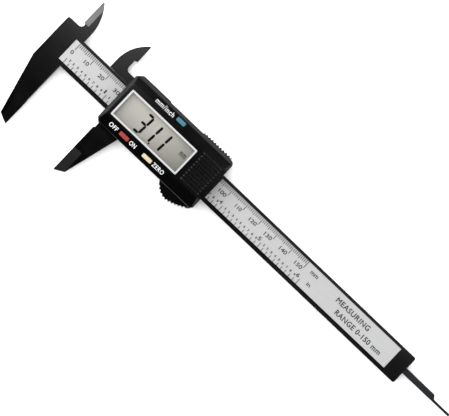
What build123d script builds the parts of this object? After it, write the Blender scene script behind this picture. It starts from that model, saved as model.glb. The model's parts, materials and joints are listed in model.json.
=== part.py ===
from build123d import *
import os

# Digital caliper with a 150 mm scale, lying on its back cover. X runs along the beam from the fixed
# jaw's measuring face, Y across it towards the inside jaws, Z up to the display. Millimetres.

# Opening and travel
OPENING = 31.1                     # gap between the measuring faces as it lies
STOP_READING = 151.6               # reading at which the back cover meets the stop plate
STOP_GAP = 0.1

# Beam and head
BEAM_HALF = 8.0                    # half of the beam's width
BEAM_BOTTOM, BEAM_TOP = 2.2, 5.8
BEAM_END = 219.6
BEAM_CORNER = 1.0
FRONT_ROUND = 0.4                  # rounding of the front edges of beam and outside jaws
HEAD_BACK = -13.2
HEAD_HIGH = 12.0
HEAD_CORNER = 1.2
HEAD_SLOPE, HEAD_SLOPE_DROP = 2.0, 0.7  # slope along the head's back edge

# Outside jaws
JAW_TIP = -46.0
JAW_ROOT = -14.5                   # where the jaw leaves the slider
THIN_TIP = -31.0                   # the tips are bevelled beyond here
TIP_BEVEL = 5.0                    # width of that bevel
TIP_EDGE = 1.9                     # thickness left at the measuring edge
NOTCH = 0.7                        # relief beside the moving jaw's root

# Inside jaws: the fixed one is the beam's front half, the moving one its rear half
INSIDE_EDGE = -5.9                 # fixed knife edge
INSIDE_TIP = 28.3
REAR_HALF_TOP, FRONT_HALF_BOTTOM = 3.9, 4.1
KNIFE_BEVEL = 3.0
KNIFE_EDGE = 0.3
ARM_HIGH = 12.2
RELIEF = 1.4                       # relief beside the moving jaw's root

# Scale strip and label in the beam's front recess
LABEL_X = (-2.9, 211.2)
LABEL_Y = (-5.85, 6.45)
SCALE_BOARD_THICK = 0.8
LABEL_THICK = 0.15
RECESS_DEPTH = 1.0

# Depth rod in the beam's rear groove
GROOVE_HALF, GROOVE_TOP = 1.9, 3.9
GROOVE_START = 46.0
ROD_HALF, ROD_BOTTOM, ROD_TOP = 1.65, 2.3, 3.7
ROD_START = 79.5
ROD_TIP = BEAM_END + OPENING       # flush with the beam when the jaws are shut
ROD_STEP = 238.5
ROD_STEP_RUN = 1.5
ROD_TIP_SIDE = -0.3                # upper side of the thin tip
ROD_SCREW_X = 83.0

# Slider
CASE_X = (29.8, 91.7)
CASE_Y = (-14.5, 15.6)
CASE_STEP_X, CASE_STEP_Y = 50.5, 16.0
SLIDE_GAP = 0.1                    # running clearance round the beam
FRAME_BOTTOM, FRAME_TOP = 2.1, 6.1
UPPER_RAIL_X = 31.8
BRIDGE_TOP = 7.1
BRIDGES_X = ((31.8, 37.5), (86.0, 91.7))
TAB_END, TAB_HALF, TAB_TOP = 92.6, 7.4, 8.5
LOBE_X = (71.4, 90.9)
LOBE_CREST = (79.5, -19.7)
LOBE_TOP = 9.2
LOBE_ROUND = 0.6
TOOTH_PITCH, TOOTH_RADIUS = 1.7, 0.6
UPPER_TEETH_X = (71.6, 89.2)
UPPER_TEETH_Y = 16.5
UPPER_TOOTH_PITCH, UPPER_TOOTH_RADIUS = 1.76, 0.6
UPPER_TEETH_TOP = 10.6
GIB_X = (46.0, 78.0)
GIB_POCKET = 1.0
GIB_THICK = 0.3
GIB_BOW = 0.5

# Front cover
COVER_TOP = 13.8                   # plateau
COVER_WALL = 1.4
PLATEAU_Y = (-9.0, 10.0)
SHOULDER_LOW = (-14.3, 12.6)       # outer edge of the lower shoulder: Y, Z
SHOULDER_HIGH = (14.0, 12.9)       # outer edge of the upper shoulder: Y, Z
CHAMFER_Z = 11.4                   # foot of the upper chamfer
END_BEVEL = 1.7
COVER_ROUND = 0.3

# Screws: X, Y of each
CASE_SCREWS = ((34.7, -11.3), (88.0, -11.3), (34.7, 11.6), (88.0, 12.0))
CASE_SCREW_R, CASE_HEAD_R, CASE_HEAD_Z = 1.0, 1.8, (0.3, 1.4)
CASE_SCREW_TOP = 10.6
BOSS_R, BOSS_TOP = 2.1, 12.3
BOARD_SCREWS = ((41.5, 10.9), (72.5, -11.0))
BOARD_SCREW_R, BOARD_HEAD_R, BOARD_HEAD_HIGH = 0.75, 1.5, 0.7
BOARD_SCREW_TOP = 10.4
BOARD_BOSS_R = 1.7
STOP_SCREWS = ((215.6, -4.6), (215.6, 4.6))
STOP_SCREW_R, STOP_HEAD_R = 0.8, 1.5
HOLE_GAP = 0.1                     # radial room round a screw

# Display stack, from the board upwards
BOARD_X, BOARD_Y = (38.0, 85.6), (-13.0, 13.8)
HOLDER_X, HOLDER_Y, HOLDER_TOP = (33.4, 74.6), (-9.1, 7.4), 10.1
HOLDER_VOID_X, HOLDER_VOID_Y = (34.6, 73.4), (-8.6, 6.3)
PANEL_X, PANEL_Y = (33.5, 74.5), (-8.6, 7.3)
REFLECTOR_THICK = 0.15
GLASS_THICK = 0.8
REAR_GLASS_LOW_Y = -7.0
ZEBRA_X, ZEBRA_Y = (36.0, 72.0), (-8.5, -7.1)
BEZEL_X, BEZEL_Y, BEZEL_TOP = (33.2, 75.0), (-7.8, 7.7), 13.95
FLANGE_X, FLANGE_Y, FLANGE_TOP = (32.5, 75.7), (-8.5, 8.4), 12.3
VISIBLE_X, VISIBLE_Y = (34.1, 74.1), (-6.9, 6.8)
LENS_Z = (12.2, 12.8)
LENS_REBATE = 0.4

# Buttons: centre X, centre Y, length, top
BUTTONS = {
    "power": (45.25, -11.2, 5.5, 13.95),
    "zero": (60.1, -11.3, 5.6, 13.95),
    "unit": (59.9, 12.2, 5.1, 14.0),
}
BUTTON_WIDTH = 2.0
BUTTON_CORNER = 0.5
BUTTON_ROUND = 0.25
BUTTON_GAP = 0.1
BUTTON_BOTTOM = 10.0
BUTTON_FLANGE, BUTTON_FLANGE_Z = 0.5, (10.0, 10.9)
DOME_FOOT_R, DOME_TOP_R, DOME_WALL = 1.6, 1.1, 0.4

# Button cell and its cover
CELL_AT = (83.3, 1.0)
CELL_R, CELL_CAP_R = 5.8, 4.9
CELL_Z = (7.5, 12.85)
CELL_CAP_HIGH = 0.9
WELL_R, WELL_WALL = 5.95, 1.0
BATTERY_COVER_X, BATTERY_COVER_Y = (76.5, 91.7), (-8.0, 10.0)
BATTERY_COVER_Z = (12.95, 14.0)
TONGUE, TONGUE_TOP = 0.8, 13.35
RIDGES, RIDGE_PITCH, RIDGE_WIDTH, RIDGE_HIGH = 10, 1.75, 0.9, 0.4
RIDGE_X = (77.6, 89.4)
RIDGE_ROUND = 0.25
RIDGE_RAMP = 0.9                   # length of the slope at each end of a ridge
LOOSE = 0.05                       # room between parts that slip together

# Stop plate
STOP_X = CASE_X[1] + STOP_READING - OPENING + STOP_GAP
STOP_BOTTOM = 0.9

X_MID = (HEAD_BACK + ROD_TIP) / 2
Y_MID = (JAW_TIP + INSIDE_TIP) / 2


def block(x, y, z):
    """Block from (low, high) pairs along each axis."""
    middle = Pos((x[0] + x[1]) / 2, (y[0] + y[1]) / 2, (z[0] + z[1]) / 2)
    return middle * Box(x[1] - x[0], y[1] - y[0], z[1] - z[0])


def disc(at, radius, z):
    """Upright cylinder at an (X, Y) point."""
    return Pos(at[0], at[1], (z[0] + z[1]) / 2) * Cylinder(radius, z[1] - z[0])


def bar(at, length, width, corner, z):
    """Upright bar about an (X, Y) point, long in X, its upright edges rounded."""
    shape = RectangleRounded(length, width, corner)
    return Pos(at[0], at[1], z[0]) * extrude(shape, z[1] - z[0], dir=(0, 0, 1))


def grow(span, by):
    return span[0] - by, span[1] + by


def profile(start, *steps):
    """Closed face. Each step is a corner, or a (through, end) pair of points for an arc."""
    edges, here = [], start
    for step in (*steps, start):
        if isinstance(step[0], tuple):
            edges.append(ThreePointArc(here, *step))
            here = step[1]
        elif step != here:
            edges.append(Line(here, step))
            here = step
    return make_face(edges)


def plate(face, z):
    return Pos(0, 0, z[0]) * extrude(face, z[1] - z[0], dir=(0, 0, 1))


def section(points, x):
    """Prism along X of a closed outline of (Y, Z) points."""
    face = Plane.YZ * Polygon(*points, align=None)
    return Pos(x[0], 0, 0) * extrude(face, x[1] - x[0], dir=(1, 0, 0))


def along_y(points, y):
    """Prism along Y of a closed outline of (X, Z) points."""
    corners = [(px, y[0], pz) for px, pz in points]
    face = make_face(Polyline(*corners, close=True))
    return extrude(face, y[1] - y[0], dir=(0, 1, 0))


def tip_bevel(face_x, away):
    """What the bevel takes off the front of an outside jaw's tip; away is -1 or 1 in X."""
    back = face_x + away * TIP_BEVEL
    over = face_x - away
    low = BEAM_BOTTOM + TIP_EDGE
    points = ((face_x, low), (back, BEAM_TOP), (back, BEAM_TOP + 1), (over, BEAM_TOP + 1), (over, low))
    return along_y(points, (JAW_TIP - 1, THIN_TIP))


def back_slope(start, end):
    """What the slope along the head's back edge takes off, between two points of that edge."""
    along = (Vector(*end) - Vector(*start)).normalized()
    place = Plane(origin=(*start, BEAM_TOP), x_dir=(along.Y, -along.X, 0), z_dir=(along.X, along.Y, 0))
    foot, crest = (0, -HEAD_SLOPE_DROP), (HEAD_SLOPE, 0)
    wedge = Polygon((-1, foot[1]), foot, crest, (HEAD_SLOPE, 1), (-1, 1), align=None)
    length = (Vector(*end) - Vector(*start)).length
    return extrude(place * wedge, length)


def screw(at, shank_r, shank_z, head_r, head_z):
    """Pan-head screw with a cross recess, head at the back."""
    head = disc(at, head_r, head_z)
    head = chamfer(head.edges().group_by(Axis.Z)[0], 0.25)
    arm, depth = head_r * 1.1, 0.5
    for span_x, span_y in ((arm, head_r * 0.28), (head_r * 0.28, arm)):
        cut = Pos(at[0], at[1], head_z[0]) * Box(span_x, span_y, depth * 2)
        head -= cut
    return head + disc(at, shank_r, shank_z)


def beam():
    rail = block((HEAD_BACK, BEAM_END), (-BEAM_HALF, BEAM_HALF), (BEAM_BOTTOM, BEAM_TOP))
    rail = fillet(rail.edges().filter_by(Axis.Z).group_by(Axis.X)[-1], BEAM_CORNER)
    back_low, back_high = (-5.4, -43.2), (HEAD_BACK, -12.5)
    jaw = profile((0, -BEAM_HALF), (0, JAW_TIP + 0.2), back_low, back_high, (HEAD_BACK, -BEAM_HALF))
    corner = HEAD_CORNER
    inside = profile(
        (HEAD_BACK, BEAM_HALF), (HEAD_BACK, HEAD_HIGH - corner),
        ((HEAD_BACK + 0.3 * corner, HEAD_HIGH - 0.3 * corner), (HEAD_BACK + corner, HEAD_HIGH)),
        (-6.8, HEAD_HIGH),
        ((-5.2, 12.8), (-5.0, 14.6)), (INSIDE_EDGE, 14.8), (INSIDE_EDGE, INSIDE_TIP),
        (INSIDE_EDGE + 0.6, INSIDE_TIP), ((-0.75, 20.5), (0.6, HEAD_HIGH)), (0.6, BEAM_HALF),
    )
    shape = rail + plate(jaw, (BEAM_BOTTOM, BEAM_TOP)) + plate(inside, (FRONT_HALF_BOTTOM, BEAM_TOP))
    shape = fillet(shape.edges().group_by(Axis.Z)[-1], FRONT_ROUND)
    shape -= [back_slope(back_high, (HEAD_BACK, HEAD_HIGH)), back_slope(back_low, back_high)]
    shape -= tip_bevel(0, -1)
    knife = (
        (INSIDE_EDGE, FRONT_HALF_BOTTOM + KNIFE_EDGE), (INSIDE_EDGE + KNIFE_BEVEL, BEAM_TOP),
        (INSIDE_EDGE + KNIFE_BEVEL, BEAM_TOP + 1), (INSIDE_EDGE - 1, BEAM_TOP + 1),
        (INSIDE_EDGE - 1, FRONT_HALF_BOTTOM + KNIFE_EDGE),
    )
    shape -= along_y(knife, (14.7, INSIDE_TIP + 1))
    shape -= block(LABEL_X, LABEL_Y, (BEAM_TOP - RECESS_DEPTH, BEAM_TOP + 1))
    shape -= block(
        (GROOVE_START, BEAM_END + 1), (-GROOVE_HALF, GROOVE_HALF), (BEAM_BOTTOM - 1, GROOVE_TOP)
    )
    for at in STOP_SCREWS:
        shape -= disc(at, STOP_SCREW_R + LOOSE, (BEAM_BOTTOM - 1, BEAM_TOP - 0.8))
    return shape


def scale_board():
    low = BEAM_TOP - RECESS_DEPTH
    room = -LOOSE
    return block(grow(LABEL_X, room), grow(LABEL_Y, room), (low, low + SCALE_BOARD_THICK))


def scale_label():
    low = BEAM_TOP - RECESS_DEPTH + SCALE_BOARD_THICK
    return block(grow(LABEL_X, -LOOSE), grow(LABEL_Y, -LOOSE), (low, low + LABEL_THICK))


def stop_plate():
    shape = block((STOP_X, BEAM_END - 0.6), (-6.6, 6.6), (STOP_BOTTOM, BEAM_BOTTOM))
    shape = fillet(shape.edges().filter_by(Axis.Z), 1.0)
    for at in STOP_SCREWS:
        shape -= disc(at, STOP_SCREW_R + LOOSE, (STOP_BOTTOM - 1, BEAM_BOTTOM + 1))
        shape -= disc(at, STOP_HEAD_R + HOLE_GAP, (STOP_BOTTOM - 1, STOP_BOTTOM + 0.7))
    return shape


def stop_plate_screws():
    head_z = (STOP_BOTTOM, STOP_BOTTOM + 0.7)
    shank_z = (head_z[1], BEAM_TOP - 1.0)
    return [screw(at, STOP_SCREW_R, shank_z, STOP_HEAD_R, head_z) for at in STOP_SCREWS]


def moving_jaws():
    """Outside and inside jaw of the slider."""
    face = OPENING
    outside = profile(
        (face, JAW_ROOT + 1.2), (face, JAW_ROOT), (face + NOTCH, JAW_ROOT - 0.6),
        (face + NOTCH, -17.5), (face, -18.1), (face, JAW_TIP), (face + 5.1, -43.0),
        (face + 12.6, JAW_ROOT - 0.3), (face + 12.6, JAW_ROOT + 1.2),
    )
    edge = INSIDE_EDGE + OPENING
    inside = profile(
        (17.3, BEAM_HALF + SLIDE_GAP), (17.3, HEAD_HIGH), ((18.9, 20.8), (edge - 0.5, INSIDE_TIP)),
        (edge, INSIDE_TIP), (edge, 18.6), (edge - RELIEF, 18.2), (edge - RELIEF, 15.0),
        ((edge - 1.0, 13.1), (edge, ARM_HIGH)), (UPPER_RAIL_X + 1, ARM_HIGH),
        (UPPER_RAIL_X + 1, BEAM_HALF + SLIDE_GAP),
    )
    shape = plate(outside, (BEAM_BOTTOM, BEAM_TOP))
    shape = fillet(shape.edges().group_by(Axis.Z)[-1], FRONT_ROUND) - tip_bevel(face, 1)
    blade = plate(inside, (BEAM_BOTTOM, REAR_HALF_TOP))
    knife = (
        (edge, REAR_HALF_TOP - KNIFE_EDGE), (edge - KNIFE_BEVEL, BEAM_BOTTOM),
        (edge - KNIFE_BEVEL, BEAM_BOTTOM - 1), (edge + 1, BEAM_BOTTOM - 1),
        (edge + 1, REAR_HALF_TOP - KNIFE_EDGE),
    )
    blade -= along_y(knife, (18.4, INSIDE_TIP + 1))
    return shape, blade


def case_outline(low_corner=1.2):
    """Plan of the slider without its thumb lobe."""
    x, y = CASE_X, CASE_Y
    return profile(
        (x[0], -12.8), (x[0] + 1.7, y[0]), (x[1] - low_corner, y[0]), (x[1], y[0] + low_corner),
        (x[1], y[1] - 2.5), ((x[1] - 0.73, y[1] - 0.73), (x[1] - 2.5, y[1])),
        (CASE_STEP_X, y[1]), (CASE_STEP_X - 0.8, CASE_STEP_Y), (x[0] + 3.2, CASE_STEP_Y),
        (x[0] + 2.3, CASE_STEP_Y - 0.4), (x[0], 13.4),
    )


def thumb_lobe():
    """Serrated thumb rest on the slider's lower edge."""
    rise = ThreePointArc((LOBE_X[0], CASE_Y[0] - LOOSE), (74.2, -17.9), LOBE_CREST)
    fall = ThreePointArc(LOBE_CREST, (85.3, -18.0), (LOBE_X[1], CASE_Y[0] - 0.3))
    inner = Line((LOBE_X[1], CASE_Y[0] - 0.3), (LOBE_X[1], CASE_Y[0] - LOOSE))
    back = Line((LOBE_X[1], CASE_Y[0] - LOOSE), rise @ 0)
    shape = plate(make_face([rise, fall, inner, back]), (FRAME_BOTTOM, LOBE_TOP))
    shape = fillet(shape.edges().group_by(Axis.Z)[-1].filter_by(GeomType.CIRCLE), LOBE_ROUND)
    low_y = CASE_Y[0] - 0.5
    shape += block((LOBE_X[0] + 0.8, LOBE_X[1] - 0.6), (low_y, CASE_Y[0] + 0.5), (FRAME_BOTTOM, FRAME_TOP))
    for arc in (rise, fall):
        teeth = int(arc.length / TOOTH_PITCH)
        for i in range(teeth):
            spot = arc @ ((i + 0.5) / teeth)
            if spot.Y < low_y - TOOTH_RADIUS:
                shape -= disc((spot.X, spot.Y), TOOTH_RADIUS, (FRAME_BOTTOM - 1, LOBE_TOP + 1))
    return shape


def rails():
    """The two bars that run along the beam's edges, drilled for the screws."""
    z = (FRAME_BOTTOM, FRAME_TOP)
    inner = BEAM_HALF + SLIDE_GAP
    body = plate(case_outline(), z)
    holes = [disc(at, CASE_SCREW_R + HOLE_GAP, grow(z, 1)) for at in CASE_SCREWS]
    holes += [disc(at, BOARD_HEAD_R + 0.3, (FRAME_TOP - 1.1, FRAME_TOP + 1)) for at in BOARD_SCREWS]
    holes.append(block(GIB_X, (inner - 1, inner + GIB_POCKET), grow(z, -0.8)))
    upper = body & block((UPPER_RAIL_X, CASE_X[1]), (inner, 20), z)
    lower = body & block((OPENING, CASE_X[1]), (-20, -inner), z)
    return upper - holes, lower - holes


def upper_teeth(z):
    """Serrated strip on the slider's upper edge."""
    strip = block(UPPER_TEETH_X, (CASE_Y[1] - 1, UPPER_TEETH_Y), z)
    for i in range(int((UPPER_TEETH_X[1] - UPPER_TEETH_X[0]) / UPPER_TOOTH_PITCH)):
        at = (UPPER_TEETH_X[0] + (i + 0.5) * UPPER_TOOTH_PITCH, UPPER_TEETH_Y)
        strip -= disc(at, UPPER_TOOTH_RADIUS, grow(z, 1))
    return strip


def slider_frame():
    bridge_z = (BEAM_TOP + SLIDE_GAP, BRIDGE_TOP)
    bridges = [block(x, (-9.0, 9.2), bridge_z) for x in BRIDGES_X]
    tab_y = (-TAB_HALF, TAB_HALF)
    tab = block((CASE_X[1] - 1, TAB_END), tab_y, bridge_z)
    tab_lip = block((CASE_X[1] + LOOSE, TAB_END), tab_y, (BRIDGE_TOP - 1, TAB_TOP))
    shape = Part()
    for piece in (*rails(), *moving_jaws(), *bridges, tab, tab_lip, thumb_lobe()):
        shape += piece
    return shape + upper_teeth((FRAME_BOTTOM, FRAME_TOP))


def gib_spring():
    """Bowed leaf that presses the beam against the lower rail."""
    wall = BEAM_HALF + SLIDE_GAP + GIB_POCKET - LOOSE
    x = grow(GIB_X, -0.5)
    middle = (x[0] + x[1]) / 2
    face = profile(
        (x[0], wall), ((middle, wall - GIB_BOW), (x[1], wall)), (x[1], wall - GIB_THICK),
        ((middle, wall - GIB_BOW - GIB_THICK), (x[0], wall - GIB_THICK)),
    )
    return plate(face, (FRAME_BOTTOM + 0.9, FRAME_TOP - 0.9))


def depth_rod():
    face = profile(
        (ROD_START, -ROD_HALF), (ROD_TIP, -ROD_HALF), (ROD_TIP, ROD_TIP_SIDE),
        (ROD_STEP + ROD_STEP_RUN, ROD_TIP_SIDE), (ROD_STEP, ROD_HALF), (ROD_START, ROD_HALF),
    )
    shape = plate(face, (ROD_BOTTOM, ROD_TOP))
    return shape - disc((ROD_SCREW_X, 0), BOARD_SCREW_R + LOOSE, (ROD_BOTTOM - 1, ROD_TOP + 1))


def rod_screw():
    shank_z = (CASE_HEAD_Z[1], ROD_TOP - 0.1)
    return screw((ROD_SCREW_X, 0), BOARD_SCREW_R, shank_z, BOARD_HEAD_R, CASE_HEAD_Z)


def back_cover():
    x, y = (OPENING, CASE_X[1]), CASE_Y
    shape = block(x, y, (0, FRAME_BOTTOM))
    shape = fillet(shape.edges().filter_by(Axis.Z), 1.5)
    shape = chamfer(shape.edges().group_by(Axis.Z)[0], 0.6)
    shape += block((ROD_START, ROD_SCREW_X + 3), (-1.3, 1.3), (1.0, ROD_BOTTOM))
    for at in CASE_SCREWS:
        shape -= disc(at, CASE_SCREW_R + HOLE_GAP, (-1, FRAME_TOP))
        shape -= disc(at, CASE_HEAD_R + HOLE_GAP, (-1, CASE_HEAD_Z[1]))
    at = (ROD_SCREW_X, 0)
    shape -= disc(at, BOARD_SCREW_R + HOLE_GAP, (-1, FRAME_TOP))
    shape -= disc(at, BOARD_HEAD_R + HOLE_GAP, (-1, CASE_HEAD_Z[1]))
    return shape


def case_screws():
    shank_z = (CASE_HEAD_Z[1], CASE_SCREW_TOP)
    return [screw(at, CASE_SCREW_R, shank_z, CASE_HEAD_R, CASE_HEAD_Z) for at in CASE_SCREWS]


def cover_shell():
    """Outer form of the front cover, hollowed from below."""
    outer = (
        (CASE_Y[0], FRAME_TOP), (CASE_Y[0], SHOULDER_LOW[1] - 0.3), SHOULDER_LOW,
        (PLATEAU_Y[0], COVER_TOP), (PLATEAU_Y[1], COVER_TOP), SHOULDER_HIGH,
        (CASE_STEP_Y, CHAMFER_Z), (CASE_STEP_Y, FRAME_TOP),
    )
    wall = COVER_WALL
    hollow = (
        (CASE_Y[0] + wall, FRAME_TOP - 1), (CASE_Y[0] + wall, SHOULDER_LOW[1] - wall),
        (PLATEAU_Y[0], COVER_TOP - wall), (PLATEAU_Y[1], COVER_TOP - wall),
        (CASE_Y[1] - wall, SHOULDER_HIGH[1] - wall), (CASE_Y[1] - wall, FRAME_TOP - 1),
    )
    shape = section(outer, CASE_X) & plate(case_outline(), (FRAME_TOP, COVER_TOP + 1))
    for x, away in ((CASE_X[0], 1), (CASE_X[1], -1)):
        points = ((x, COVER_TOP - END_BEVEL), (x + away * END_BEVEL, COVER_TOP),
                  (x + away * END_BEVEL, COVER_TOP + 1), (x - away, COVER_TOP + 1),
                  (x - away, COVER_TOP - END_BEVEL))
        shape -= along_y(points, (-20, 20))
    shape = fillet([edge for edge in shape.edges() if edge.center().Z > CHAMFER_Z - 0.2], COVER_ROUND)
    return shape - section(hollow, grow(CASE_X, -wall))


def front_cover():
    roof = COVER_TOP - COVER_WALL
    shape = cover_shell() + upper_teeth((FRAME_TOP, UPPER_TEETH_TOP))
    for at in CASE_SCREWS:
        shape += disc(at, BOSS_R, (FRAME_TOP, BOSS_TOP))
        shape -= disc(at, CASE_SCREW_R + LOOSE, (FRAME_TOP - 1, CASE_SCREW_TOP + 0.2))
    for at in BOARD_SCREWS:
        shape += disc(at, BOARD_BOSS_R, (BRIDGE_TOP, BOSS_TOP))
        shape -= disc(at, BOARD_SCREW_R + LOOSE, (BRIDGE_TOP - 1, BOARD_SCREW_TOP + 0.2))
    bridge_room = (-TAB_HALF - 2, TAB_HALF + 2)
    shape -= block(grow(BRIDGES_X[1], 0.2), bridge_room, (FRAME_TOP - 1, BRIDGE_TOP + LOOSE))
    well = disc(CELL_AT, WELL_R + WELL_WALL, (BRIDGE_TOP + 0.1, roof + 0.2))
    shape += well & block((76.0, CASE_X[1]), (-20, 20), (0, 20))
    shape -= disc(CELL_AT, WELL_R, (BRIDGE_TOP - 1, COVER_TOP))
    shape -= block((75.9, 77.6), (-3.2, 5.2), (BRIDGE_TOP, roof - 0.5))
    shape -= block(grow(BEZEL_X, LOOSE), grow(BEZEL_Y, LOOSE), (roof - 2, COVER_TOP + 1))
    cover_y = grow(BATTERY_COVER_Y, LOOSE)
    low = BATTERY_COVER_Z[0] - LOOSE
    shape -= block((BATTERY_COVER_X[0] - LOOSE, CASE_X[1] + 1), cover_y, (low, COVER_TOP + 1))
    shape -= block(
        (BATTERY_COVER_X[0] - LOOSE, CASE_X[1] + 1), grow(cover_y, TONGUE), (low, TONGUE_TOP + LOOSE)
    )
    for x, y, length, _ in BUTTONS.values():
        gap = 2 * BUTTON_GAP
        corner = BUTTON_CORNER + BUTTON_GAP
        shape -= bar((x, y), length + gap, BUTTON_WIDTH + gap, corner, (FRAME_TOP + 2, COVER_TOP + 1))
    return shape


def display_bezel():
    shape = block(BEZEL_X, BEZEL_Y, (LENS_Z[0] - 0.35, BEZEL_TOP))
    shape = fillet(shape.edges().filter_by(Axis.Z), 0.5)
    shape += block(FLANGE_X, FLANGE_Y, (LENS_Z[0] - 0.35, FLANGE_TOP))
    shape = chamfer(shape.edges().group_by(Axis.Z)[-1], 0.15)
    shape -= block(VISIBLE_X, VISIBLE_Y, (0, 20))
    return shape - block(grow(VISIBLE_X, LENS_REBATE), grow(VISIBLE_Y, LENS_REBATE), (0, LENS_Z[1] + LOOSE))


def display_lens():
    room = LENS_REBATE - LOOSE
    return block(grow(VISIBLE_X, room), grow(VISIBLE_Y, room), LENS_Z)


def lcd_holder():
    z = (BRIDGE_TOP, HOLDER_TOP)
    return block(HOLDER_X, HOLDER_Y, z) - block(HOLDER_VOID_X, HOLDER_VOID_Y, grow(z, 1))


def glass_layers():
    """Reflector, rear glass and front glass, lying on the holder."""
    rear_y = (REAR_GLASS_LOW_Y, PANEL_Y[1])
    z1 = HOLDER_TOP + REFLECTOR_THICK
    z2 = z1 + GLASS_THICK
    return {
        "lcd_reflector": block(PANEL_X, rear_y, (HOLDER_TOP, z1)),
        "lcd_rear_glass": block(PANEL_X, rear_y, (z1, z2)),
        "lcd_front_glass": block(PANEL_X, PANEL_Y, (z2, z2 + GLASS_THICK)),
    }


def zebra_strip():
    return block(ZEBRA_X, ZEBRA_Y, (BRIDGE_TOP, HOLDER_TOP + REFLECTOR_THICK + GLASS_THICK))


def main_board():
    shape = block(BOARD_X, BOARD_Y, (FRAME_TOP, BRIDGE_TOP))
    for at in BOARD_SCREWS:
        shape -= disc(at, BOARD_SCREW_R + HOLE_GAP, (FRAME_TOP - 1, BRIDGE_TOP + 1))
    return shape


def board_screws():
    head_z = (FRAME_TOP - BOARD_HEAD_HIGH, FRAME_TOP)
    shank_z = (FRAME_TOP, BOARD_SCREW_TOP)
    return [screw(at, BOARD_SCREW_R, shank_z, BOARD_HEAD_R, head_z) for at in BOARD_SCREWS]


def reading_pads():
    """Copper plates under the board that face the scale."""
    pads, pitch, width, thick = 14, 2.0, 1.3, 0.06
    z = (FRAME_TOP - thick, FRAME_TOP)
    starts = [45.0 + i * pitch for i in range(pads)]
    return [block((x, x + width), (-4.2, 4.2), z) for x in starts]


def controller_blob():
    radius, high = 3.6, 1.5
    ball_r = (radius ** 2 + high ** 2) / (2 * high)
    ball = Pos(53.0, -0.5, BRIDGE_TOP + high - ball_r) * Sphere(ball_r)
    return ball & block((45, 61), (-9, 9), (BRIDGE_TOP, BRIDGE_TOP + 3))


def timing_crystal():
    radius, length = 0.95, 5.6
    return Pos(64.0, 2.6, BRIDGE_TOP + radius) * Rot(0, 90, 0) * Cylinder(radius, length)


def chip_capacitors():
    places = ((44.0, 3.4), (47.0, 3.4), (60.0, -3.0), (63.0, -3.0), (66.0, -3.0))
    return [block((x, x + 1.6), (y, y + 0.8), (BRIDGE_TOP, BRIDGE_TOP + 0.7)) for x, y in places]


def button(name):
    x, y, length, top = BUTTONS[name]
    shape = bar((x, y), length, BUTTON_WIDTH, BUTTON_CORNER, (BUTTON_BOTTOM, top))
    shape = fillet(shape.edges().group_by(Axis.Z)[-1], BUTTON_ROUND)
    wide = 2 * BUTTON_FLANGE
    return shape + bar((x, y), length + wide, BUTTON_WIDTH + wide, BUTTON_CORNER, BUTTON_FLANGE_Z)


def dome(name):
    """Hollow rubber cone between the board and a button."""
    x, y = BUTTONS[name][:2]
    high = BUTTON_BOTTOM - LOOSE - BRIDGE_TOP
    outer = Cone(DOME_FOOT_R, DOME_TOP_R, high)
    inner = Pos(0, 0, -DOME_WALL) * Cone(DOME_FOOT_R - DOME_WALL, DOME_TOP_R - DOME_WALL, high)
    return Pos(x, y, BRIDGE_TOP + high / 2) * (outer - inner)


def button_cell():
    cap_z = (CELL_Z[0], CELL_Z[0] + CELL_CAP_HIGH)
    can = disc(CELL_AT, CELL_R, (cap_z[1], CELL_Z[1]))
    can = fillet(can.edges().group_by(Axis.Z)[-1], 0.4)
    return can + disc(CELL_AT, CELL_CAP_R, cap_z)


def positive_contact():
    side = CELL_AT[0] - CELL_R - LOOSE
    upright = block((side - 0.25, side), (-2.5, 4.5), (BRIDGE_TOP, 11.5))
    return upright + block((side - 1.1, side), (-2.5, 4.5), (BRIDGE_TOP, BRIDGE_TOP + 0.25))


def negative_contact():
    foot = block((79.5, 85.0), (-1.5, 3.5), (BRIDGE_TOP, BRIDGE_TOP + 0.2))
    return foot + disc(CELL_AT, 1.6, (BRIDGE_TOP + 0.2, CELL_Z[0]))


def battery_cover():
    x, y, z = BATTERY_COVER_X, BATTERY_COVER_Y, BATTERY_COVER_Z
    shape = block(x, y, z)
    shape = fillet(shape.edges().filter_by(Axis.Z).group_by(Axis.X)[-1], 0.6)
    shape += block((x[0], x[1] - 1), grow(y, TONGUE - LOOSE), (z[0], TONGUE_TOP))
    first = (y[0] + y[1] - (RIDGES - 1) * RIDGE_PITCH) / 2
    crest = z[1] + RIDGE_HIGH
    ramps = [
        along_y(((x, z[1]), (x + away * RIDGE_RAMP, crest), (x + away * RIDGE_RAMP, crest + 1),
                 (x - away, crest + 1), (x - away, z[1])), (-20, 20))
        for x, away in ((RIDGE_X[0], 1), (RIDGE_X[1], -1))
    ]
    for i in range(RIDGES):
        at = ((RIDGE_X[0] + RIDGE_X[1]) / 2, first + i * RIDGE_PITCH)
        ridge = bar(at, RIDGE_X[1] - RIDGE_X[0], RIDGE_WIDTH, RIDGE_WIDTH / 2 - 0.01, (z[1] - 0.2, crest))
        ridge = fillet(ridge.edges().group_by(Axis.Z)[-1], RIDGE_ROUND)
        shape += ridge - ramps
    return shape


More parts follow.
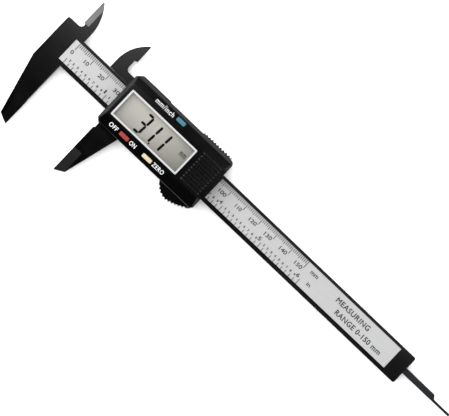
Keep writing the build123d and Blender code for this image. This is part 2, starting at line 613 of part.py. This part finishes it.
NODES = {
    "beam": beam(),
    "scale_board": scale_board(),
    "scale_label": scale_label(),
    "stop_plate": stop_plate(),
    "stop_plate_screws": stop_plate_screws(),
    "slider_frame": slider_frame(),
    "front_cover": front_cover(),
    "back_cover": back_cover(),
    "case_screws": case_screws(),
    "gib_spring": gib_spring(),
    "depth_rod": depth_rod(),
    "rod_screw": rod_screw(),
    "display_bezel": display_bezel(),
    "display_lens": display_lens(),
    "lcd_holder": lcd_holder(),
    **glass_layers(),
    "zebra_strip": zebra_strip(),
    "main_board": main_board(),
    "board_screws": board_screws(),
    "reading_pads": reading_pads(),
    "controller_blob": controller_blob(),
    "timing_crystal": timing_crystal(),
    "chip_capacitors": chip_capacitors(),
    **{f"{name}_button": button(name) for name in BUTTONS},
    **{f"{name}_dome": dome(name) for name in BUTTONS},
    "button_cell": button_cell(),
    "positive_contact": positive_contact(),
    "negative_contact": negative_contact(),
    "battery_cover": battery_cover(),
}

os.makedirs("parts", exist_ok=True)
for node, shapes in NODES.items():
    pieces = shapes if isinstance(shapes, list) else [shapes]
    solids = [Pos(-X_MID, -Y_MID, 0) * solid for piece in pieces for solid in piece.solids()]
    whole = solids[0] if len(solids) == 1 else Compound(children=solids)
    export_step(whole, f"parts/{node}.step")
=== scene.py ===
import json
import math

import bmesh
import bpy
from mathutils import Matrix, Vector
from mathutils.bvhtree import BVHTree


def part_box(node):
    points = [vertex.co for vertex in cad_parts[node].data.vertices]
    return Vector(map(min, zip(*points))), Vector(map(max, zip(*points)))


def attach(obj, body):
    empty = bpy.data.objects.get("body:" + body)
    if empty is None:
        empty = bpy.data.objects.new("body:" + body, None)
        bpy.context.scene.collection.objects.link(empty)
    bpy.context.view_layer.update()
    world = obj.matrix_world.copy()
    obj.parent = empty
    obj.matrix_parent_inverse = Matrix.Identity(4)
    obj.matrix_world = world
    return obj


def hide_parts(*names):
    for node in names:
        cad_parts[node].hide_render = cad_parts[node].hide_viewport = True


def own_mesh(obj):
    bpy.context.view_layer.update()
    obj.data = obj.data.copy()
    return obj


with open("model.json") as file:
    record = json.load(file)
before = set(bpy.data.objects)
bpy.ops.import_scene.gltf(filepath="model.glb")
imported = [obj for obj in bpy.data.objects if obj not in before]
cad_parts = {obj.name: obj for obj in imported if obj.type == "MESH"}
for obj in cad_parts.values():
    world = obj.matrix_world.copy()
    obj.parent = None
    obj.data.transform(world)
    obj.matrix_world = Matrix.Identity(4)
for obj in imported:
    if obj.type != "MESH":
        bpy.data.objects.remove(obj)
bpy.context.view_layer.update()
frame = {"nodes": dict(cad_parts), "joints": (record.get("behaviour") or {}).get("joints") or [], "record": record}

MM = 0.001
mounts = {m["name"]: m for m in frame["record"]["mounts"]}

# Local axes of the caliper: X in millimetres from the fixed jaw's measuring face, Y from the
# beam's centreline, Z up from the surface it lies on.
ZERO_X = mounts["fixed_jaw_face"]["pos_m"][0]
ROD_LOW, ROD_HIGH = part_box("depth_rod")
CENTRE_Y = (ROD_LOW.y + ROD_HIGH.y) / 2


def at(x, y, z=0.0):
    """Point of the row frame, in metres, from local millimetres."""
    return Vector((ZERO_X + x * MM, CENTRE_Y + y * MM, z * MM))


def local(point):
    """Local millimetres of a point of the row frame."""
    return Vector(((point.x - ZERO_X) / MM, (point.y - CENTRE_Y) / MM, point.z / MM))


def span(node):
    """Lowest and highest corner of a CAD node in local millimetres."""
    low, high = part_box(node)
    return local(low), local(high)


# ---------------------------------------------------------------- node trees

class Tree:
    """A node tree, with short calls for what the sky and the finishes share."""

    def __init__(self, tree):
        self.tree = tree

    def add(self, kind, **settings):
        node = self.tree.nodes.new(kind)
        for key, value in settings.items():
            setattr(node, key, value)
        return node

    def link(self, output, target):
        self.tree.links.new(output, target)

    def feed(self, value, socket):
        """Sets a socket to a plain value, or links an output to it."""
        if isinstance(value, tuple):
            socket.default_value = value
        else:
            self.link(value, socket)

    def remap(self, value, low, high, start=0.3, end=0.7, kind="LINEAR"):
        """Goes from low to high while the value goes from start to end."""
        node = self.add("ShaderNodeMapRange", interpolation_type=kind)
        limits = {"From Min": start, "From Max": end, "To Min": low, "To Max": high}
        for key, number in limits.items():
            node.inputs[key].default_value = number
        self.link(value, node.inputs["Value"])
        return node.outputs["Result"]

    def multiply(self, first, second):
        node = self.add("ShaderNodeMath", operation="MULTIPLY")
        self.link(first, node.inputs[0])
        self.link(second, node.inputs[1])
        return node.outputs["Value"]

    def dot(self, first, second):
        """Dot product of an output and another output or a fixed direction."""
        node = self.add("ShaderNodeVectorMath", operation="DOT_PRODUCT")
        self.link(first, node.inputs[0])
        self.feed(second, node.inputs[1])
        return node.outputs["Value"]


# ---------------------------------------------------------------- camera and studio

VIEW_ANGLE = math.radians(43.57)      # the beam runs this far below the horizontal, to the right
VIEW_TILT = math.radians(2.5)         # the camera leans this far towards the jaws
VIEW_CENTRE = (102.95, -3.05, 5.8)
VIEW_WIDTH = 213.9                    # millimetres across the picture
CAMERA_DISTANCE = 0.7                 # metres
CAMERA_CLIP = (0.01, 10.0)
SENSOR_WIDTH = 36.0

# The sky's limits are sines of elevation, its sides are cosines of the angle to SKY_TOWARDS.
SKY_HORIZON = 0.22                    # brightness at the horizon, as a share
SKY_FULL_FROM = 0.4                   # full brightness from here
SKY_BRIGHT_TO, SKY_DARK_FROM = 0.55, 0.88
SKY_TOWARDS = (-0.25, 0.97, 0.0)      # the brighter side
SKY_SIDES = (-0.6, 0.8)               # dimmest up to the first, brightest from the second
SKY_LOW_SIDE, SKY_TOP_SIDE = 1.9, 3.1
SKY_COLOUR = (0.97, 0.98, 1.0, 1.0)

# Lights: sizes in metres, places in local millimetres
KEY_AIM = (5.0, 5.0)
KEY_HEIGHT = math.radians(33.7)
KEY_SIDEWAYS = 0.1                    # share of the way to the key that goes along Y
KEY_DISTANCE = 1.0
KEY_SIZE, KEY_POWER = (0.5, 0.2), 3.8
FILL_PLACE, FILL_AIM = (-220.0, 30.0, 880.0), (50.0, 0.0)
FILL_SIZE, FILL_POWER = (1.0, 1.0), 11.5
STRIP_HEIGHT = 500.0
STRIPS = {                            # X and Y, size, power
    "head_strip": ((-60.0, 125.0), (0.13, 0.2), 0.37),
    "beam_strip": ((225.0, 125.0), (0.22, 0.2), 0.46),
}
FLOOR_REACH = 1.6                     # metres from the middle to each side


def make_camera():
    data = bpy.data.cameras.new("camera")
    data.sensor_width = SENSOR_WIDTH
    data.lens = SENSOR_WIDTH * CAMERA_DISTANCE / (VIEW_WIDTH * MM)
    data.clip_start, data.clip_end = CAMERA_CLIP
    camera = bpy.data.objects.new("camera", data)
    back = Vector((-math.sin(VIEW_TILT), 0.0, math.cos(VIEW_TILT)))
    right = Vector((math.cos(VIEW_ANGLE), math.sin(VIEW_ANGLE), 0.0))
    right = (right - right.dot(back) * back).normalized()
    up = back.cross(right)
    turn = Matrix((right, up, back)).transposed().to_4x4()
    camera.matrix_world = Matrix.Translation(at(*VIEW_CENTRE) + back * CAMERA_DISTANCE) @ turn
    bpy.context.scene.collection.objects.link(camera)
    bpy.context.scene.camera = camera


def area_light(name, place, aim, size, power, diffuse=True, gloss=True):
    """Rectangular soft light, which may give only its diffuse share or only its gloss."""
    data = bpy.data.lights.new(name, "AREA")
    data.shape = "RECTANGLE"
    data.size, data.size_y = size
    data.energy = power
    light = bpy.data.objects.new(name, data)
    light.location = place
    light.rotation_euler = (Vector(aim) - Vector(place)).to_track_quat("-Z", "Y").to_euler()
    light.visible_camera = False
    light.visible_diffuse, light.visible_glossy = diffuse, gloss
    bpy.context.scene.collection.objects.link(light)


def make_world():
    """Soft light all round from the sides, stronger from the top of the picture, dark overhead."""
    world = bpy.data.worlds.new("studio")
    world.use_nodes = True
    sky = Tree(world.node_tree)
    background = world.node_tree.nodes["Background"]
    way = sky.add("ShaderNodeTexCoord").outputs["Generated"]
    height = sky.dot(way, (0.0, 0.0, 1.0))
    overhead = sky.remap(height, 1.0, 0.0, SKY_BRIGHT_TO, SKY_DARK_FROM, "SMOOTHSTEP")
    horizon = sky.remap(height, SKY_HORIZON, 1.0, 0.0, SKY_FULL_FROM, "SMOOTHSTEP")
    towards = sky.dot(way, SKY_TOWARDS)
    side = sky.remap(towards, SKY_LOW_SIDE, SKY_TOP_SIDE, *SKY_SIDES, "SMOOTHSTEP")
    strength = sky.multiply(sky.multiply(overhead, horizon), side)
    sky.link(strength, background.inputs["Strength"])
    background.inputs["Color"].default_value = SKY_COLOUR
    bpy.context.scene.world = world


def make_floor():
    bm = bmesh.new()
    bmesh.ops.create_grid(bm, x_segments=2, y_segments=2, size=FLOOR_REACH)
    mesh = bpy.data.meshes.new("floor")
    bm.to_mesh(mesh)
    bm.free()
    floor = bpy.data.objects.new("floor", mesh)
    bpy.context.scene.collection.objects.link(floor)
    floor.data.materials.append(floor_material())


def make_studio():
    """The sky, a key beyond the head, a fill from above, two strips seen in gloss and a floor."""
    make_world()
    head = at(*KEY_AIM)
    towards = Vector((-math.cos(KEY_HEIGHT), KEY_SIDEWAYS, math.sin(KEY_HEIGHT)))
    area_light("key", head + towards * KEY_DISTANCE, head, KEY_SIZE, KEY_POWER)
    area_light("fill", at(*FILL_PLACE), at(*FILL_AIM), FILL_SIZE, FILL_POWER, gloss=False)
    for name, (place, size, power) in STRIPS.items():
        area_light(name, at(*place, STRIP_HEIGHT), at(*place), size, power, diffuse=False)
    bpy.context.scene.view_settings.view_transform = "Standard"
    make_floor()


# ---------------------------------------------------------------- materials

WEAR_AND_HIGHLIGHT_RADIUS = 0.22                    # reach of the edge colour: rubbed wear, and a painted highlight where it is lighter


class Finish(Tree):
    """A material's node tree around its Principled shader."""

    def __init__(self, name):
        self.material = bpy.data.materials.new(name)
        self.material.use_nodes = True
        super().__init__(self.material.node_tree)
        self.shader = self.tree.nodes["Principled BSDF"]
        self.place = self.add("ShaderNodeTexCoord").outputs["Object"]

    def values(self, **sockets):
        """Sets plain values on the shader; an underscore stands for a space."""
        for key, value in sockets.items():
            self.shader.inputs[key.replace("_", " ")].default_value = value

    def noise(self, per_mm, detail=3.0, stretch=None):
        """Noise with about that many features per millimetre."""
        source = self.place
        if stretch:
            mapping = self.add("ShaderNodeMapping")
            mapping.inputs["Scale"].default_value = stretch
            self.link(source, mapping.inputs["Vector"])
            source = mapping.outputs["Vector"]
        node = self.add("ShaderNodeTexNoise")
        node.inputs["Scale"].default_value = per_mm / MM
        node.inputs["Detail"].default_value = detail
        self.link(source, node.inputs["Vector"])
        return node.outputs["Fac"]

    def mix(self, share, first, second):
        """Colour between two colours or outputs."""
        node = self.add("ShaderNodeMix", data_type="RGBA")
        self.link(share, node.inputs["Factor"])
        for key, value in (("A", first), ("B", second)):
            socket = [s for s in node.inputs if s.name == key and s.type == "RGBA"][0]
            self.feed((*value, 1.0) if isinstance(value, tuple) else value, socket)
        return [s for s in node.outputs if s.type == "RGBA"][0]

    def edges(self, radius_mm):
        """Mask that is 1 at sharp edges and 0 on flats, broken up a little."""
        bevel = self.add("ShaderNodeBevel", samples=4)
        bevel.inputs["Radius"].default_value = radius_mm * MM
        geometry = self.add("ShaderNodeNewGeometry")
        flatness = self.dot(bevel.outputs["Normal"], geometry.outputs["Normal"])
        sharp = self.remap(flatness, 1.0, 0.0, start=0.80, end=0.995)
        patchy = self.remap(self.noise(0.9), 0.35, 1.0)
        return self.multiply(sharp, patchy)

    def bump(self, height, depth_mm, strength):
        node = self.add("ShaderNodeBump")
        node.inputs["Strength"].default_value = strength
        node.inputs["Distance"].default_value = depth_mm * MM
        self.link(height, node.inputs["Height"])
        self.link(node.outputs["Normal"], self.shader.inputs["Normal"])

    def done(self, colour, roughness=None):
        self.link(colour, self.shader.inputs["Base Color"])
        if roughness is not None:
            self.link(roughness, self.shader.inputs["Roughness"])
        return self.material


def floor_material():
    n = Finish("pale_floor")
    n.values(Roughness=0.9, Specular_IOR_Level=0.1)
    return n.done(n.mix(n.noise(0.002), (0.95, 0.95, 0.95), (0.97, 0.97, 0.97)))


def moulded(name, dark, light, edge_wear_and_highlight, rough=(0.16, 0.22), grain=0.006):
    """Moulded plastic: fine grain, slow flow marks and an edge colour that is rubbed wear and, where lighter than
    the body, a painted edge highlight.
    """
    n = Finish(name)
    flow = n.noise(0.05, detail=2.0, stretch=(1.0, 2.5, 1.0))
    speck = n.noise(2.2, detail=2.0)
    base = n.mix(n.remap(speck, 0.0, 1.0), dark, light)
    # Edge colour: rubbed wear, and a painted highlight where it is lighter than the body.
    colour = n.mix(n.edges(WEAR_AND_HIGHLIGHT_RADIUS), base, edge_wear_and_highlight)
    n.values(Specular_IOR_Level=0.25)
    n.bump(speck, grain, strength=0.6)
    return n.done(colour, n.remap(flow, *rough))


def label_film():
    """Silver printed film: faint brushing along the beam and slightly uneven tone and gloss."""
    n = Finish("label_film")
    brushed = n.noise(3.0, detail=3.0, stretch=(0.04, 1.0, 1.0))
    cloud = n.noise(0.02, detail=2.0)
    tone = n.mix(n.remap(cloud, 0.0, 1.0), (0.295, 0.295, 0.29), (0.32, 0.32, 0.315))
    streak = n.mix(n.remap(brushed, 0.0, 0.35), tone, (0.25, 0.25, 0.25))
    n.values(Specular_IOR_Level=0.05)
    n.bump(brushed, 0.002, strength=0.5)
    return n.done(streak, n.remap(cloud, 0.38, 0.52))


def ink(name, colour, gloss=0.12):
    """Screen-printed ink, a little uneven in tone and gloss."""
    n = Finish(name)
    n.values(Specular_IOR_Level=gloss)
    speck = n.noise(4.0)
    lighter = tuple(min(1.0, c * 1.15 + 0.001) for c in colour)
    return n.done(n.mix(n.remap(speck, 0.0, 1.0), colour, lighter), n.remap(speck, 0.5, 0.65))


def bare_metal(name, tone, rough=(0.22, 0.38)):
    """Metal with fine turning marks."""
    n = Finish(name)
    turned = n.noise(5.0, stretch=(1.0, 1.0, 0.15))
    n.values(Metallic=1.0)
    n.bump(turned, 0.004, strength=0.5)
    duller = tuple(c * 0.86 for c in tone)
    return n.done(n.mix(n.remap(turned, 0.0, 1.0), tone, duller), n.remap(turned, *rough))


def clear(name, tint, alpha, rough=(0.03, 0.09)):
    """Clear window: a thin film of gloss over what lies behind it."""
    n = Finish(name)
    smear = n.noise(0.06, detail=2.0)
    n.values(Alpha=alpha)
    darker = tuple(c * 0.94 for c in tint)
    return n.done(n.mix(n.remap(smear, 0.0, 1.0), tint, darker), n.remap(smear, *rough))


def panel_film(name, tone, alpha):
    """Polariser of the display: very fine texture, with painted shade that dims it towards its right end and its
    lower edge.
    """
    n = Finish(name)
    fine = n.noise(3.5, detail=2.0)
    n.values(Alpha=alpha)
    low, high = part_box("lcd_front_glass")
    middle = low.x + 0.5 * (high.x - low.x)
    top = high.y - 3.0 * MM
    # Painted shade: the colour dims towards the right end and darkens towards black towards the lower edge.
    split = n.add("ShaderNodeSeparateXYZ")
    n.link(n.place, split.inputs["Vector"])
    along = n.remap(split.outputs["X"], 0.0, 1.0, start=middle, end=high.x)
    down = n.remap(split.outputs["Y"], 0.0, 0.35, start=top, end=low.y)
    darker, far, painted_low_shade = (tuple(c * share for c in tone) for share in (0.95, 0.58, 0.0))
    speckled = n.mix(n.remap(fine, 0.0, 1.0), tone, darker)
    n.bump(fine, 0.002, strength=0.3)
    colour = n.mix(down, n.mix(along, speckled, far), painted_low_shade)
    return n.done(colour, n.remap(fine, 0.28, 0.36))


def circuit_board():
    """Green solder mask with faint tracks below it."""
    n = Finish("circuit_board")
    wave = n.add("ShaderNodeTexWave", wave_type="BANDS", bands_direction="Y")
    wave.inputs["Scale"].default_value = 0.35 / MM
    wave.inputs["Distortion"].default_value = 2.0
    n.link(n.place, wave.inputs["Vector"])
    tracks = n.remap(wave.outputs["Fac"], 0.0, 1.0, start=0.55, end=0.75)
    n.bump(tracks, 0.02, strength=0.6)
    colour = n.mix(tracks, (0.018, 0.13, 0.05), (0.04, 0.22, 0.09))
    return n.done(colour, n.remap(n.noise(0.3), 0.3, 0.42))


LCD_TONE = (0.375, 0.366, 0.322)
FINISHES = {                          # by the record's material slots
    # In moulded finishes the third colour is the edge colour: rubbed wear, and a painted highlight where lighter.
    "black_composite": lambda: moulded(
        "black_composite",
        (0.0003, 0.0003, 0.0004), (0.0009, 0.0009, 0.0010), (0.008, 0.008, 0.009)),
    "rod_composite": lambda: moulded(
        "rod_composite", (0.008, 0.008, 0.009), (0.0135, 0.0135, 0.0145), (0.035, 0.035, 0.035)),
    "scale_label": label_film,
    "scale_board": circuit_board,
    "white_bezel": lambda: moulded(
        "white_bezel", (0.34, 0.34, 0.34), (0.37, 0.37, 0.365), (0.30, 0.30, 0.295), (0.28, 0.38)),
    "clear_lens": lambda: clear("clear_lens", (0.03, 0.03, 0.03), 0.03),
    "display_glass": lambda: panel_film("display_glass", LCD_TONE, 0.75),
    "display_reflector": lambda: panel_film("display_reflector", LCD_TONE, 1.0),
    "clear_holder": lambda: moulded(
        "clear_holder", (0.62, 0.64, 0.63), (0.70, 0.71, 0.70), (0.55, 0.56, 0.55), (0.3, 0.4)),
    "red_plastic": lambda: moulded(
        "red_plastic",
        (0.18, 0.0155, 0.0105), (0.22, 0.023, 0.017), (0.29, 0.08, 0.07), (0.30, 0.42)),
    "cream_plastic": lambda: moulded(
        "cream_plastic",
        (0.37, 0.31, 0.195), (0.40, 0.345, 0.235), (0.46, 0.42, 0.33), (0.30, 0.42)),
    "blue_plastic": lambda: moulded(
        "blue_plastic",
        (0.023, 0.096, 0.130), (0.033, 0.122, 0.156), (0.10, 0.22, 0.26), (0.30, 0.42)),
    "green_board": circuit_board,
    "copper": lambda: bare_metal("copper", (0.86, 0.52, 0.30)),
    "black_epoxy": lambda: moulded(
        "black_epoxy",
        (0.010, 0.010, 0.010), (0.016, 0.016, 0.016), (0.02, 0.02, 0.02), (0.15, 0.25)),
    "grey_rubber": lambda: moulded(
        "grey_rubber",
        (0.075, 0.075, 0.08), (0.10, 0.10, 0.105), (0.12, 0.12, 0.12), (0.7, 0.85), grain=0.02),
    "capacitor": lambda: moulded(
        "capacitor", (0.36, 0.25, 0.15), (0.42, 0.30, 0.19), (0.5, 0.4, 0.3), (0.5, 0.6)),
    "steel": lambda: bare_metal("steel", (0.62, 0.62, 0.63)),
    "cell_steel": lambda: bare_metal("cell_steel", (0.78, 0.78, 0.79), (0.12, 0.22)),
}

DARK_INK = ink("dark_ink", (0.022, 0.022, 0.024))
WHITE_INK = ink("white_ink", (0.52, 0.52, 0.52))
DISPLAY_INK = ink("display_ink", (0.001, 0.001, 0.001), 0.02)


def paint_nodes():
    """Gives every CAD node the finish of its slot in the record."""
    made = {}
    for part in frame["record"]["subparts"]:
        name = part["material_slot"]
        if name not in made:
            made[name] = FINISHES[name]()
        mesh = frame["nodes"][part["node"]].data
        mesh.materials.clear()
        mesh.materials.append(made[name])


# ---------------------------------------------------------------- printing

INK_THICK = 0.02
FONT_RESOLUTION = 4
WORD_SPACING = 1.1
SHARPEST_CORNER = 0.3                 # limits how far thickening moves a pointed corner


def surface_of(node):
    """Search tree of a CAD node's surface."""
    mesh = frame["nodes"][node].data
    points = [v.co.copy() for v in mesh.vertices]
    return BVHTree.FromPolygons(points, [tuple(p.vertices) for p in mesh.polygons])


def lie_on(bm, tree):
    """Drops a flat mesh onto a surface and gives it the thickness of ink."""
    for vertex in bm.verts:
        above = Vector((vertex.co.x, vertex.co.y, 1.0))
        vertex.co.z = tree.ray_cast(above, Vector((0.0, 0.0, -1.0)))[0].z
    grown = bmesh.ops.extrude_face_region(bm, geom=list(bm.faces), use_keep_orig=True)
    for item in grown["geom"]:
        if isinstance(item, bmesh.types.BMVert):
            item.co.z += INK_THICK * MM
    bmesh.ops.recalc_face_normals(bm, faces=bm.faces)


def piece(name, bm, material, body):
    """New piece of the visual model, fixed to a body."""
    mesh = bpy.data.meshes.new(name)
    bm.to_mesh(mesh)
    bm.free()
    mesh.materials.append(material)
    thing = bpy.data.objects.new(name, mesh)
    bpy.context.scene.collection.objects.link(thing)
    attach(thing, body)


def add_rectangle(bm, x, y):
    """Flat rectangle from local (low, high) pairs."""
    corners = [at(x[0], y[0]), at(x[1], y[0]), at(x[1], y[1]), at(x[0], y[1])]
    bm.faces.new([bm.verts.new(c) for c in corners])


def thicken(verts, by):
    """Moves the outline of flat lettering outwards by that many millimetres."""
    pushed = {}
    for vertex in verts:
        for edge in vertex.link_edges:
            if len(edge.link_faces) == 1:
                other = edge.other_vert(vertex)
                along = (other.co - vertex.co).normalized()
                out = Vector((along.y, -along.x, 0.0))
                if out.dot(edge.link_faces[0].calc_center_median() - vertex.co) > 0.0:
                    out.negate()
                pushed.setdefault(vertex, []).append(out)
    for vertex, sides in pushed.items():
        if len(sides) == 2:
            middle = (sides[0] + sides[1]) / 2
            vertex.co += middle / max(middle.length_squared, SHARPEST_CORNER) * by * MM


def add_text(bm, words, x, y, weight, spacing=1.0):
    """Flat lettering that fills the local box x by y, both (low, high) pairs, made bolder by
    weight millimetres on each side."""
    curve = bpy.data.curves.new("words", "FONT")
    curve.body = words
    curve.resolution_u = FONT_RESOLUTION
    curve.space_character = spacing
    text = bpy.data.objects.new("words", curve)
    bpy.context.scene.collection.objects.link(text)
    bpy.context.view_layer.update()
    mesh = bpy.data.meshes.new_from_object(text)
    xs = [v.co.x for v in mesh.vertices]
    ys = [v.co.y for v in mesh.vertices]
    left, base = min(xs), min(ys)
    wide, high = max(xs) - left, max(ys) - base
    corners = []
    for v in mesh.vertices:
        px = x[0] + (v.co.x - left) / wide * (x[1] - x[0])
        py = y[0] + (v.co.y - base) / high * (y[1] - y[0])
        corners.append(bm.verts.new(at(px, py)))
    for face in mesh.polygons:
        bm.faces.new([corners[i] for i in face.vertices])
    thicken(corners, weight)
    bpy.data.objects.remove(text)
    bpy.data.curves.remove(curve)
    bpy.data.meshes.remove(mesh)


def print_words(name, rows, tree, material, body):
    """Words as one piece; each row is text, X, Y and weight."""
    bm = bmesh.new()
    for words, x, y, weight in rows:
        add_text(bm, words, x, y, weight, WORD_SPACING)
    lie_on(bm, tree)
    piece(name, bm, material, body)


# ---------------------------------------------------------------- scale

LABEL_LOW, LABEL_HIGH = span("scale_label")
INCH = 25.4
LAST_MM, LAST_INCH = 150, 6
TICK_WIDE = 0.36
TICK_MARGIN = 0.02                    # from the film's edge to the ticks
MM_TICKS = {1: 2.0, 5: 2.5, 10: 4.2}  # length by the step that the tick marks
TENTH_TICKS = {1: 1.6, 10: 2.8}
BIG_DIGIT, SMALL_DIGIT = (1.5, 1.9), (0.8, 1.1)     # width and height
DIGIT_SPACE = 0.35
ONE_WIDE = 0.45                       # width of a one, as a share of another digit's
DIGIT_WEIGHT = 0.07
# How far before its tick a number ends, and the height of its base
MM_NUMBER, ZERO_NUMBER = (0.55, 0.6), (-0.5, -0.3)
TENTH_NUMBER, INCH_NUMBER = (0.45, -3.5), (1.1, -3.0)
SCALE_UNITS = (
    ("mm", (154.0, 158.4), (2.6, 4.0)),
    ("in", (156.4, 158.4), (-2.8, -1.1)),
)
LABEL_WORDS = (
    ("MEASURING", (172.2, 193.4), (1.3, 3.9), 0.09),
    ("RANGE 0-150 mm", (175.8, 205.0), (-3.5, -0.9), 0.09),
)
BUTTON_WORDS = (
    ("mm/inch", (44.5, 55.6), (10.7, 13.2), 0.0),
    ("OFF", (36.1, 41.0), (-12.3, -10.2), 0.03),
    ("ON", (49.0, 52.6), (-12.3, -10.2), 0.03),
    ("ZERO", (63.8, 70.6), (-12.3, -10.2), 0.03),
)


def add_number(bm, value, line, place, digit):
    """Number beside the tick at X = line."""
    text = str(value)
    gap, base = place
    wide, high = digit
    widths = [wide * (ONE_WIDE if c == "1" else 1.0) for c in text]
    room = sum(widths) + DIGIT_SPACE * (len(text) - 1)
    right = line - gap
    add_text(bm, text, (right - room, right), (base, base + high), DIGIT_WEIGHT)


def print_ticks(tree):
    """Millimetres along the film's upper edge, tenths of an inch along the lower one."""
    bm = bmesh.new()
    half = TICK_WIDE / 2
    top, bottom = LABEL_HIGH.y - TICK_MARGIN, LABEL_LOW.y + TICK_MARGIN
    for i in range(LAST_MM + 1):
        step = 10 if i % 10 == 0 else 5 if i % 5 == 0 else 1
        add_rectangle(bm, (i - half, i + half), (LABEL_HIGH.y - MM_TICKS[step], top))
    for i in range(10 * LAST_INCH + 1):
        x = i * INCH / 10
        step = 10 if i % 10 == 0 else 1
        add_rectangle(bm, (x - half, x + half), (bottom, LABEL_LOW.y + TENTH_TICKS[step]))
    lie_on(bm, tree)
    piece("scale_ticks", bm, DARK_INK, "beam")


def print_numbers(tree):
    """Tens of millimetres, tenths of an inch and inches, and the units past the last ones."""
    bm = bmesh.new()
    for i in range(0, LAST_MM + 1, 10):
        add_number(bm, i, i, MM_NUMBER if i else ZERO_NUMBER, BIG_DIGIT)
    for i in range(10 * LAST_INCH):
        if i % 10:
            add_number(bm, i % 10, i * INCH / 10, TENTH_NUMBER, SMALL_DIGIT)
    for i in range(1, LAST_INCH + 1):
        add_number(bm, i, i * INCH, INCH_NUMBER, BIG_DIGIT)
    for words, x, y in SCALE_UNITS:
        add_text(bm, words, x, y, DIGIT_WEIGHT)
    lie_on(bm, tree)
    piece("scale_numbers", bm, DARK_INK, "beam")


# ---------------------------------------------------------------- display

SEGMENT = 1.25                        # thickness of a bar
SEGMENT_GAP = 0.08                    # from a bar's point to the corner where bars meet
SEGMENTS = {"3": "abgcd", "1": "bc"}
BARS = {                              # ends of each bar, as shares of the digit's box
    "a": ((0, 1), (1, 1)), "b": ((1, 1), (1, 0.5)), "c": ((1, 0.5), (1, 0)),
    "d": ((0, 0), (1, 0)), "g": ((0, 0.5), (1, 0.5)),
}
DISPLAY_DIGIT = (4.6, 11.4)           # width and height
DIGIT_SLANT = 0.08
READING = (("3", 44.9), ("1", 50.8), ("1", 56.9))   # each digit and its left side
READING_BASE = -6.2
DECIMAL_POINT = ((55.4, 56.2), (-6.1, -5.35))
READING_UNIT = ("mm", (69.5, 72.9), (0.25, 2.3), 0.03)


def add_bar(bm, start, end):
    """Pointed bar of a seven-segment digit between two local points."""
    start, end = Vector(start), Vector(end)
    along = (end - start).normalized()
    across = Vector((-along.y, along.x))
    half = SEGMENT / 2
    start, end = start + along * SEGMENT_GAP, end - along * SEGMENT_GAP
    outline = (
        start, start + along * half + across * half, end - along * half + across * half,
        end, end - along * half - across * half, start + along * half - across * half,
    )
    bm.faces.new([bm.verts.new(at(p.x, p.y)) for p in reversed(outline)])


def add_digit(bm, digit, left):
    wide, high = (side - SEGMENT for side in DISPLAY_DIGIT)
    for bar in SEGMENTS[digit]:
        points = []
        for share_x, share_y in BARS[bar]:
            rise = SEGMENT / 2 + share_y * high
            x = left + SEGMENT / 2 + share_x * wide + rise * DIGIT_SLANT
            points.append((x, READING_BASE + rise))
        add_bar(bm, *points)


def show_reading():
    """The reading on the display, in millimetres."""
    bm = bmesh.new()
    for digit, left in READING:
        add_digit(bm, digit, left)
    add_rectangle(bm, *DECIMAL_POINT)
    add_text(bm, *READING_UNIT, WORD_SPACING)
    lie_on(bm, surface_of("lcd_front_glass"))
    piece("reading", bm, DISPLAY_INK, "slider")


# ---------------------------------------------------------------- contact domes

def soften_domes():
    """Copies of the rubber domes, each fixed to the slider in place of its CAD dome."""
    for joint in frame["joints"]:
        button, _, action = joint["name"].partition("_")
        if action != "press":
            continue
        node = f"{button}_dome"
        dome = bpy.data.objects.new(f"{button}_soft_dome", frame["nodes"][node].data.copy())
        bpy.context.scene.collection.objects.link(dome)
        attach(dome, "slider")
        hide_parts(node)
        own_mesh(dome)


# ---------------------------------------------------------------- build

make_camera()
make_studio()
paint_nodes()
label_tree = surface_of("scale_label")
print_ticks(label_tree)
print_numbers(label_tree)
print_words("label_words", LABEL_WORDS, label_tree, DARK_INK, "beam")
print_words(
    "button_words", BUTTON_WORDS, surface_of("front_cover"), WHITE_INK, "slider")
show_reading()
soften_domes()
